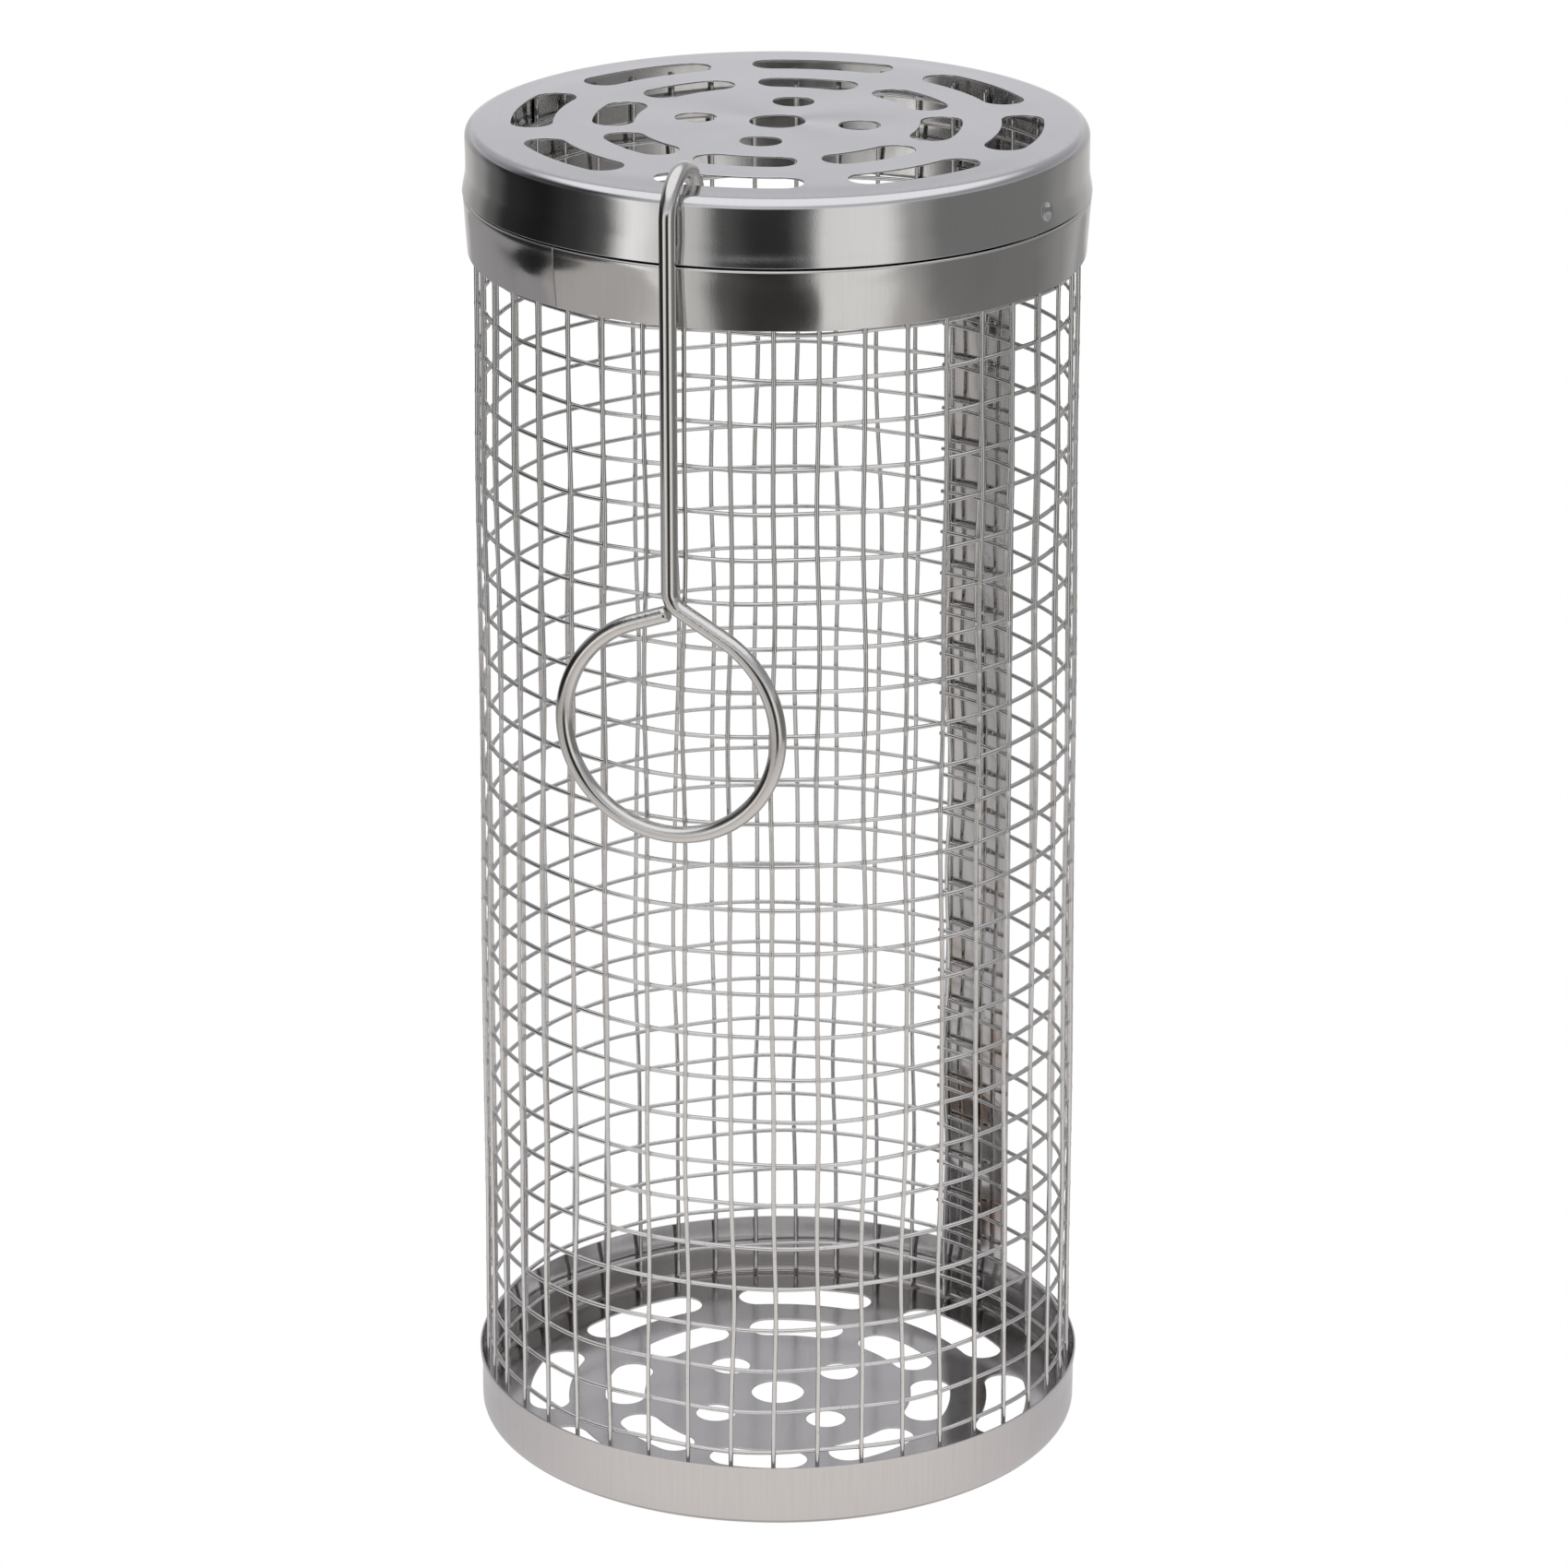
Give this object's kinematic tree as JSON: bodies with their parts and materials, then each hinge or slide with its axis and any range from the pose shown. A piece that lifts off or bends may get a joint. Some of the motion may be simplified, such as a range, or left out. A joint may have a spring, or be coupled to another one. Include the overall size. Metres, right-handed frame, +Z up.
{
  "type": "wire mesh grill basket",
  "caption": "Cylindrical stainless wire-mesh grill basket with punched end caps, a lift-off lid and a hooked ring handle.",
  "frame": {"origin": "centre of the base's underside, on the basket's axis", "axes": "+Z up along the basket's axis, -Y towards the side where the handle hangs"},
  "size_m": [0.0908, 0.0932, 0.2038],
  "materials": {
    "lid_steel": "satin",
    "collar_steel": "brushed",
    "cup_steel": "satin",
    "strip_steel": "polished",
    "mesh_wire_steel": "drawn",
    "handle_steel": "bright drawn"
  },
  "bodies": {
    "basket": {"bottom_cup": "cup_steel", "collar": "collar_steel", "seam_strip": "strip_steel", "hoop_wire_01": "mesh_wire_steel", "hoop_wire_02": "mesh_wire_steel", "hoop_wire_03": "mesh_wire_steel", "hoop_wire_04": "mesh_wire_steel", "hoop_wire_05": "mesh_wire_steel", "hoop_wire_06": "mesh_wire_steel", "hoop_wire_07": "mesh_wire_steel", "hoop_wire_08": "mesh_wire_steel", "hoop_wire_09": "mesh_wire_steel", "hoop_wire_10": "mesh_wire_steel", "hoop_wire_11": "mesh_wire_steel", "hoop_wire_12": "mesh_wire_steel", "hoop_wire_13": "mesh_wire_steel", "hoop_wire_14": "mesh_wire_steel", "hoop_wire_15": "mesh_wire_steel", "hoop_wire_16": "mesh_wire_steel", "hoop_wire_17": "mesh_wire_steel", "hoop_wire_18": "mesh_wire_steel", "hoop_wire_19": "mesh_wire_steel", "hoop_wire_20": "mesh_wire_steel", "hoop_wire_21": "mesh_wire_steel", "hoop_wire_22": "mesh_wire_steel", "hoop_wire_23": "mesh_wire_steel", "hoop_wire_24": "mesh_wire_steel", "hoop_wire_25": "mesh_wire_steel", "hoop_wire_26": "mesh_wire_steel", "hoop_wire_27": "mesh_wire_steel", "hoop_wire_28": "mesh_wire_steel", "hoop_wire_29": "mesh_wire_steel", "hoop_wire_30": "mesh_wire_steel", "upright_wires_01": "mesh_wire_steel", "upright_wires_02": "mesh_wire_steel", "upright_wires_03": "mesh_wire_steel", "upright_wires_04": "mesh_wire_steel", "upright_wires_05": "mesh_wire_steel", "upright_wires_06": "mesh_wire_steel", "upright_wires_07": "mesh_wire_steel", "upright_wires_08": "mesh_wire_steel", "upright_wires_09": "mesh_wire_steel", "upright_wires_10": "mesh_wire_steel", "upright_wires_11": "mesh_wire_steel", "upright_wires_12": "mesh_wire_steel", "upright_wires_13": "mesh_wire_steel", "upright_wires_14": "mesh_wire_steel", "upright_wires_15": "mesh_wire_steel"},
    "lid": {"lid": "lid_steel"},
    "handle": {"handle": "handle_steel"}
  },
  "joints": [
    {"name": "lid_lift", "type": "slide", "parent": "basket", "child": "lid", "axis": [0, 0, 1], "range_m": [0, 0.06]},
    {"name": "handle_swing", "type": "hinge", "parent": "lid", "child": "handle", "pos_m": [0, -0.0406, 0.1966], "axis": [-1, 0, 0], "range_deg": [0, 50]}
  ]
}
